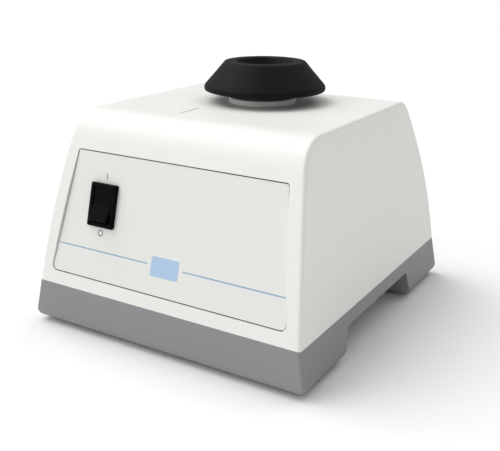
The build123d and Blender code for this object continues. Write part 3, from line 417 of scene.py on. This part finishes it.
def screen_ink(name, colour):
    """Screen-printed ink: an opaque flat colour, slightly uneven from the mesh it is pressed through."""
    material, tree, shader, place = start(name, colour, Roughness=0.45, IOR=1.5)
    vary(tree, shader, noise(tree, place, 0.6 * MM), colour, 0.04, 0.45, 0.05)
    emboss(tree, shader, noise(tree, place, 0.25 * MM), 0.002 * MM)
    return material


def filled_nylon(name, colour, roughness=0.34):
    """Glass-filled nylon: hard and satin, with faint flow marks and little shine seen from the front."""
    material, tree, shader, place = start(
        name, colour, Roughness=roughness, IOR=1.53, Specular_IOR_Level=0.04
    )
    vary(tree, shader, noise(tree, place, 3 * MM, 4.0), colour, 0.25, roughness, 0.05)
    emboss(tree, shader, noise(tree, place, 0.3 * MM, 2.0), 0.004 * MM)
    return material


def moulded_rubber(name, colour, roughness=0.5):
    """Compression-moulded rubber: soft-looking, with a dull sheen and a faint dusty bloom."""
    material, tree, shader, place = start(
        name, colour, Roughness=roughness, IOR=1.52, Specular_IOR_Level=0.10, Sheen_Weight=0.01
    )
    vary(tree, shader, noise(tree, place, 6 * MM, 5.0), colour, 0.14, roughness, 0.06)
    emboss(tree, shader, noise(tree, place, 0.5 * MM, 3.0), 0.010 * MM)
    return material


def plated_steel(name, colour):
    """Bright zinc-plated steel: a pale grey metal whose spangle clouds its shine."""
    material, tree, shader, place = start(name, colour, Metallic=1.0, Roughness=0.36)
    vary(tree, shader, noise(tree, place, 2.5 * MM, 3.0), colour, 0.10, 0.36, 0.10)
    emboss(tree, shader, noise(tree, place, 0.4 * MM), 0.003 * MM)
    return material


def ground_steel(name, colour):
    """Ground bearing steel: a clear shine drawn out round the shaft by the wheel's fine lines."""
    material, tree, shader, place = start(name, colour, Metallic=1.0, Roughness=0.2)
    lines = noise(tree, place, 0.25 * MM, 2.0, (12, 12, 1))
    vary(tree, shader, lines, colour, 0.05, 0.2, 0.07)
    emboss(tree, shader, lines, 0.002 * MM)
    return material


def cast_aluminium(name, colour):
    """Die-cast aluminium: a dull silver with a pebbled skin of about 0.8 mm."""
    material, tree, shader, place = start(name, colour, Metallic=1.0, Roughness=0.45)
    vary(tree, shader, noise(tree, place, 4 * MM, 3.0), colour, 0.08, 0.45, 0.06)
    emboss(tree, shader, noise(tree, place, 0.8 * MM, 3.0), 0.02 * MM)
    return material


def stove_enamel(name, colour):
    """Stove enamel on a pressed steel can: dark and smooth with a slight orange peel."""
    material, tree, shader, place = start(name, colour, Roughness=0.3, IOR=1.5)
    vary(tree, shader, noise(tree, place, 12 * MM), colour, 0.06, 0.3, 0.03)
    emboss(tree, shader, noise(tree, place, 1.6 * MM), 0.012 * MM)
    return material


def laminated_steel(name, colour):
    """Stacked electrical steel: thin dark lines between sheets 0.5 mm thick."""
    material, tree, shader, place = start(name, colour, Metallic=1.0, Roughness=0.5)
    sheets = bands(tree, place, 0.5 * MM)
    vary(tree, shader, sheets, colour, 0.3, 0.5, 0.08)
    emboss(tree, shader, sheets, 0.05 * MM)
    return material


def enamelled_copper(name, colour):
    """Wound enamelled copper wire, 0.6 mm thick: round glossy turns, side by side."""
    low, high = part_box("stator_windings")
    material, tree, shader, place = start(name, colour, Metallic=0.85, Roughness=0.3)
    turns = bands(tree, place, 0.6 * MM, "Z", "RINGS", tuple((low + high) / 2))
    vary(tree, shader, turns, colour, 0.3, 0.3, 0.05)
    emboss(tree, shader, turns, 0.2 * MM)
    return material


def stamped_brass(name, colour):
    """Stamped brass strip: warm and bright, with rolling lines along it."""
    material, tree, shader, place = start(name, colour, Metallic=1.0, Roughness=0.28)
    lines = noise(tree, place, 0.3 * MM, 2.0, (1, 1, 14))
    vary(tree, shader, lines, colour, 0.07, 0.28, 0.06)
    emboss(tree, shader, lines, 0.003 * MM)
    return material


def glass_epoxy(name, colour):
    """A glass-cloth and epoxy board under green lacquer: the cloth's 0.9 mm weave just shows."""
    material, tree, shader, place = start(name, colour, Roughness=0.32, IOR=1.55)
    warp, weft = bands(tree, place, 0.9 * MM, "X"), bands(tree, place, 0.9 * MM, "Y")
    cloth = add(tree, "ShaderNodeMath", {0: warp, 1: weft}, operation="MULTIPLY").outputs[0]
    vary(tree, shader, cloth, colour, 0.18, 0.32, 0.04)
    emboss(tree, shader, cloth, 0.01 * MM)
    return material


def film_wrap(name, colour):
    """A plastic sleeve shrunk round a capacitor: smooth and pale, with long faint creases."""
    material, tree, shader, place = start(name, colour, Roughness=0.35, IOR=1.5)
    creases = noise(tree, place, 1.2 * MM, 2.0, (10, 1, 1))
    vary(tree, shader, creases, colour, 0.04, 0.35, 0.04)
    emboss(tree, shader, creases, 0.02 * MM)
    return material


FIXED_FINISHES = {
    "bright zinc-plated steel": (plated_steel, "#B8BABC"),
    "ground bearing steel": (ground_steel, "#C4C6C8"),
    "die-cast aluminium": (cast_aluminium, "#B9BBBD"),
    "stove-enamelled steel": (stove_enamel, "#3A3D40"),
    "laminated electrical steel": (laminated_steel, "#8A8C8E"),
    "enamelled copper wire": (enamelled_copper, "#B4693A"),
    "stamped brass": (stamped_brass, "#C9A95A"),
    "green glass-epoxy board": (glass_epoxy, "#2C6B3C"),
    "grey shrunk film": (film_wrap, "#C8C9C6"),
    "cream nylon": (filled_nylon, "#DAD6C4"),
}


def material_of(name):
    """A finish that is never recoloured, made the first time it is asked for."""
    make, code = FIXED_FINISHES[name]
    return bpy.data.materials.get(name) or make(name, linear(code))


# ---- operators ----


class MIXER_OT_housing(bpy.types.Operator):
    """Finishes the white housing and the grey tray"""

    bl_idname = "mixer.housing"
    bl_label = "Housing and tray"

    def execute(self, context):
        colours = context.scene.mixer_colours
        dress(spark_textured_abs("white satin ABS", colours.housing), "housing", "drive_collar")
        dress(spark_textured_abs("grey satin ABS", colours.tray, 0.5, 0.6, 0.012), "base_tray")
        return {"FINISHED"}


class MIXER_OT_label(bpy.types.Operator):
    """Finishes the front label and prints its line, its blank badge and the switch's two marks"""

    bl_idname = "mixer.label"
    bl_label = "Front label and printing"

    def execute(self, context):
        colours, sizes = context.scene.mixer_colours, context.scene.mixer_print
        dress(velvet_polycarbonate("velvet polycarbonate film", colours.label), "front_label")
        # painted shade: a dark grey strip in the gap round the label stands in for the shade that falls there
        shade_strip = label_bed(sizes.shade_strip_width, sizes.shade_strip_depth)
        painted_gap_shade = moulded_rubber("grey label foam", linear(PAINTED_GAP_GREY), 0.8)
        add_piece("label_bed", shade_strip, painted_gap_shade, "casing", ring=True, smooth=False)
        blue = screen_ink("blue screen ink", colours.line)
        badge_left = sizes.badge_middle - sizes.badge_width / 2 - sizes.badge_gap
        badge_right = sizes.badge_middle + sizes.badge_width / 2 + sizes.badge_gap
        ends = {"left": (sizes.line_left, badge_left), "right": (badge_right, sizes.line_right)}
        for side, (begin, end) in ends.items():
            middle = ((begin + end) / 2, sizes.line_height)
            line = pad(middle, end - begin, sizes.line_width, sizes.ink)
            add_piece("printed_line_" + side, line, blue, "casing", smooth=False)
        # the badge hangs a little below the line, and its corners are squarer than the line's
        badge_drop, badge_power = 0.5 * MM, 16
        badge_place = (sizes.badge_middle, sizes.line_height - badge_drop)
        badge = pad(badge_place, sizes.badge_width, sizes.badge_height, sizes.ink, badge_power)
        pale = screen_ink("pale blue screen ink", colours.badge)
        add_piece("blank_badge", badge, pale, "casing", smooth=False)
        low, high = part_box("switch_body")
        x = (low.x + high.x) / 2
        grey = screen_ink("grey screen ink", colours.marks)
        half = sizes.mark_size / 2
        # the bar stands closer to the switch than the ring, and both are drawn with a thin stroke
        bar_drop, bar_power, bar_stroke, ring_stroke, ring_size = 1.0 * MM, 6, 0.16, 0.15, 0.86
        on_place = (x, high.z + sizes.mark_gap + half - bar_drop)
        on_mark = pad(on_place, sizes.mark_size * bar_stroke, sizes.mark_size, sizes.ink, bar_power)
        add_piece("on_mark", on_mark, grey, "casing", smooth=False)
        off_place = (x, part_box("switch_rocker")[0].z - sizes.mark_gap - half)
        off_mark = hoop(off_place, half * ring_size, sizes.mark_size * ring_stroke, sizes.ink)
        add_piece("off_mark", off_mark, grey, "casing", ring=True)
        return {"FINISHED"}


class MIXER_OT_switch(bpy.types.Operator):
    """Finishes the rocker switch"""

    bl_idname = "mixer.switch"
    bl_label = "Rocker switch"

    def execute(self, context):
        colours = context.scene.mixer_colours
        dress(filled_nylon("black satin nylon", colours.switch, 0.4), "switch_body")
        dress(filled_nylon("black polished nylon", colours.switch, 0.28), "switch_rocker")
        dress(material_of("stamped brass"), "switch_terminals")
        return {"FINISHED"}


class MIXER_OT_cup(bpy.types.Operator):
    """Makes the rubber cup, a cone with a rounded rim and a round bowl on top"""

    bl_idname = "mixer.cup"
    bl_label = "Rubber cup"

    def execute(self, context):
        sizes = context.scene.mixer_cup
        low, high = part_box("cup")
        radius = (high.x - low.x) / 2
        stub_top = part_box("cup_carrier")[1].z
        # the cone's side is hollowed by this much, halfway up
        hollow = 0.1 * MM
        # the bowl's wall bends at this share of the mouth's radius and of the depth, and again near the floor
        wall_in, wall_down, floor_out, floor_up, floor_in = 0.84, 0.47, 1.5, 0.1, 0.4
        waist = ((radius + sizes.ring) / 2 - hollow, (low.z + sizes.rim + high.z) / 2)
        bowl_floor = high.z - sizes.bowl
        # radius, height and rounding, from the socket's roof round the outside to the bowl's floor
        corners = [
            (0, stub_top, 0),
            (sizes.stub, stub_top, 0.2 * MM),
            (sizes.stub, low.z, 0.2 * MM),
            (sizes.neck, low.z, 0.3 * MM),
            (sizes.neck, low.z + sizes.undercut, 0.5 * MM),
            (radius - sizes.skirt, low.z + sizes.undercut, 0.5 * MM),
            (radius - sizes.skirt, low.z, 0.4 * MM),
            (radius, low.z, 1.0 * MM),
            (radius, low.z + sizes.rim, 1.1 * MM),
            (*waist, 4.0 * MM),
            (sizes.ring, high.z, 0.8 * MM),
            (sizes.mouth, high.z, 0.9 * MM),
            (sizes.mouth * wall_in, high.z - sizes.bowl * wall_down, 3.2 * MM),
            (sizes.floor * floor_out, bowl_floor + sizes.bowl * floor_up, 2.0 * MM),
            (sizes.floor * floor_in, bowl_floor, 1.0 * MM),
            (0, bowl_floor, 0),
        ]
        middle = (low + high) / 2
        cup = lathe(rounded_outline(corners), middle)
        rubber = moulded_rubber("black cup rubber", context.scene.mixer_colours.rubber, 0.62)
        add_piece("moulded_cup", cup, rubber, "head", replaced=("cup",))
        return {"FINISHED"}


class MIXER_OT_feet(bpy.types.Operator):
    """Finishes the feet, the motor's dampers and the studs' sleeves"""

    bl_idname = "mixer.feet"
    bl_label = "Feet, dampers and sleeves"

    def execute(self, context):
        rubber = moulded_rubber("black foot rubber", context.scene.mixer_colours.rubber, 0.6)
        places = ("front_left", "rear_left", "front_right", "rear_right")
        dress(rubber, "stud_sleeves", *("foot_" + p for p in places), *("damper_" + p for p in places))
        return {"FINISHED"}


class MIXER_OT_inlet(bpy.types.Operator):
    """Finishes the mains inlet"""

    bl_idname = "mixer.inlet"
    bl_label = "Mains inlet"

    def execute(self, context):
        dress(filled_nylon("black inlet nylon", context.scene.mixer_colours.switch, 0.42), "power_inlet")
        dress(material_of("stamped brass"), "inlet_pins")
        return {"FINISHED"}


class MIXER_OT_fasteners(bpy.types.Operator):
    """Finishes the screws, the heavy plate and the pressed bracket"""

    bl_idname = "mixer.fasteners"
    bl_label = "Screws, plate and bracket"

    def execute(self, context):
        dress(
            material_of("bright zinc-plated steel"),
            "case_screws",
            "inlet_screws",
            "ballast_plate",
            "plate_screws",
            "motor_bracket",
            "damper_bolts",
            "motor_screws",
            "end_plate_screws",
            "hub_set_screw",
            "pin_clip",
        )
        return {"FINISHED"}


class MIXER_OT_motor(bpy.types.Operator):
    """Finishes the motor"""

    bl_idname = "mixer.motor"
    bl_label = "Motor"

    def execute(self, context):
        dress(material_of("stove-enamelled steel"), "motor_can")
        dress(material_of("die-cast aluminium"), "motor_end_plate")
        dress(material_of("laminated electrical steel"), "stator_core", "rotor_core")
        dress(material_of("enamelled copper wire"), "stator_windings")
        bearings = [b + "_bearing_" + r for b in ("lower", "upper", "head") for r in ("outer", "inner")]
        dress(material_of("ground bearing steel"), "motor_shaft", *bearings)
        return {"FINISHED"}


class MIXER_OT_drive(bpy.types.Operator):
    """Finishes the crank, its counterweight, the carrier and the studs"""

    bl_idname = "mixer.drive"
    bl_label = "Crank and carrier"

    def execute(self, context):
        nodes = ("crank_hub", "counterweight", "crank_pin", "anti_turn_studs")
        dress(material_of("ground bearing steel"), *nodes)
        dress(material_of("die-cast aluminium"), "cup_carrier")
        return {"FINISHED"}


class MIXER_OT_electrics(bpy.types.Operator):
    """Finishes the circuit board and what stands on it"""

    bl_idname = "mixer.electrics"
    bl_label = "Circuit board"

    def execute(self, context):
        dress(material_of("green glass-epoxy board"), "circuit_board")
        dress(material_of("stamped brass"), "board_standoffs")
        dress(material_of("grey shrunk film"), "run_capacitor")
        dress(material_of("cream nylon"), "terminal_block")
        return {"FINISHED"}


def add_light(name, direction, value, spread):
    """A wide soft light that shines evenly from one direction."""
    data = bpy.data.lights.new(name, "SUN")
    data.angle, data.energy = spread, value
    lamp = bpy.data.objects.new(name, data)
    bpy.context.scene.collection.objects.link(lamp)
    lamp.rotation_euler = Vector(direction).to_track_quat("Z", "Y").to_euler()
    return lamp


def floor_points(radius, rows=24, columns=96):
    """A flat disc: a point is r cos a, r sin a and zero, with r growing as the square of the row."""
    r = radius * np.linspace(0, 1, rows)[:, None] ** 2
    turn = np.linspace(0, 2 * np.pi, columns, endpoint=False)
    return np.stack([r * np.cos(turn), r * np.sin(turn), 0 * r * turn], axis=-1)


class MIXER_OT_stage(bpy.types.Operator):
    """Makes the pale floor, the soft light and the camera"""

    bl_idname = "mixer.stage"
    bl_label = "Stage"

    def execute(self, context):
        scene, settings = context.scene, context.scene.mixer_stage
        points = floor_points(settings.floor)
        index = np.arange(points.shape[0] * points.shape[1]).reshape(points.shape[:2])
        low, high = index[:-1], index[1:]
        quads = np.stack([low, high, np.roll(high, -1, axis=1), np.roll(low, -1, axis=1)], axis=-1)
        mesh = bpy.data.meshes.new("floor")
        mesh.from_pydata(points.reshape(-1, 3).tolist(), [], quads.reshape(-1, 4).tolist())
        floor = bpy.data.objects.new("floor", mesh)
        scene.collection.objects.link(floor)
        # matt white paper: no shine, only the faintest unevenness
        material, tree, shader, place = start("matt white paper", linear(PAPER), Roughness=0.9)
        vary(tree, shader, noise(tree, place, 0.4), linear(PAPER), 0.004)
        mesh.materials.append(material)

        world = bpy.data.worlds.new("studio")
        world.use_nodes = True
        tree = world.node_tree
        tree.nodes.clear()
        seen = add(tree, "ShaderNodeLightPath").outputs["Is Camera Ray"]
        # the backdrop is white to the eye, and dimmer as a light
        glow = add(tree, "ShaderNodeMapRange", {"Value": seen, "To Min": settings.sky, "To Max": 1.0})
        sky = add(tree, "ShaderNodeBackground", {"Color": (1, 1, 1, 1), "Strength": glow.outputs[0]})
        add(tree, "ShaderNodeOutputWorld", {"Surface": sky.outputs[0]})
        scene.world = world
        scene.view_settings.view_transform = "Standard"
        for side, direction in LIGHT_DIRECTIONS.items():
            add_light(side + " light", direction, getattr(settings, side), settings.spread)

        angles = (CAMERA_AZIMUTH, CAMERA_ELEVATION, CAMERA_ROLL)
        azimuth, elevation, roll = (math.radians(angle) for angle in angles)
        back = Vector(
            (
                math.sin(azimuth) * math.cos(elevation),
                -math.cos(azimuth) * math.cos(elevation),
                math.sin(elevation),
            )
        )
        right = (-back).cross(Vector((0, 0, 1))).normalized()
        up = right.cross(-back)
        across = right * math.cos(roll) + up * math.sin(roll)
        upward = up * math.cos(roll) - right * math.sin(roll)
        view = Matrix((across, upward, back)).transposed().to_4x4()
        view.translation = Vector(CAMERA_TARGET) + back * CAMERA_DISTANCE
        lens = bpy.data.cameras.new("camera")
        lens.sensor_width, lens.lens = SENSOR_WIDTH, FOCAL_LENGTH
        lens.shift_x, lens.shift_y = CAMERA_SHIFT
        lens.clip_start, lens.clip_end = 0.01, 50.0
        camera = bpy.data.objects.new("camera", lens)
        scene.collection.objects.link(camera)
        camera.matrix_world = view
        scene.camera = camera
        return {"FINISHED"}


OPERATORS = (
    MIXER_OT_housing,
    MIXER_OT_label,
    MIXER_OT_switch,
    MIXER_OT_cup,
    MIXER_OT_feet,
    MIXER_OT_inlet,
    MIXER_OT_fasteners,
    MIXER_OT_motor,
    MIXER_OT_drive,
    MIXER_OT_electrics,
    MIXER_OT_stage,
)
GROUPS = {
    "mixer_cup": CupSizes,
    "mixer_print": PrintSizes,
    "mixer_colours": Colours,
    "mixer_stage": StageSettings,
}


class MIXER_PT_panel(bpy.types.Panel):
    """The mixer's pieces, sizes and colours"""

    bl_idname = "MIXER_PT_panel"
    bl_label = "Vortex mixer"
    bl_space_type = "VIEW_3D"
    bl_region_type = "UI"
    bl_category = "Mixer"

    def draw(self, context):
        for operator in OPERATORS:
            self.layout.operator(operator.bl_idname)
        for name, group in GROUPS.items():
            box = self.layout.box()
            for field in group.__annotations__:
                box.prop(getattr(context.scene, name), field)


def register():
    """Registers the sizes and colours, the operators and the panel."""
    for name, group in GROUPS.items():
        bpy.utils.register_class(group)
        setattr(bpy.types.Scene, name, PointerProperty(type=group))
    for cls in (*OPERATORS, MIXER_PT_panel):
        bpy.utils.register_class(cls)


def unregister():
    """Takes away what register added."""
    for cls in (MIXER_PT_panel, *reversed(OPERATORS)):
        bpy.utils.unregister_class(cls)
    for name, group in GROUPS.items():
        delattr(bpy.types.Scene, name)
        bpy.utils.unregister_class(group)


def main():
    """Registers the add-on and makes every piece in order."""
    register()
    for operator in OPERATORS:
        getattr(bpy.ops.mixer, operator.bl_idname.split(".")[1])()
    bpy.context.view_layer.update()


if __name__ == "__main__":
    main()
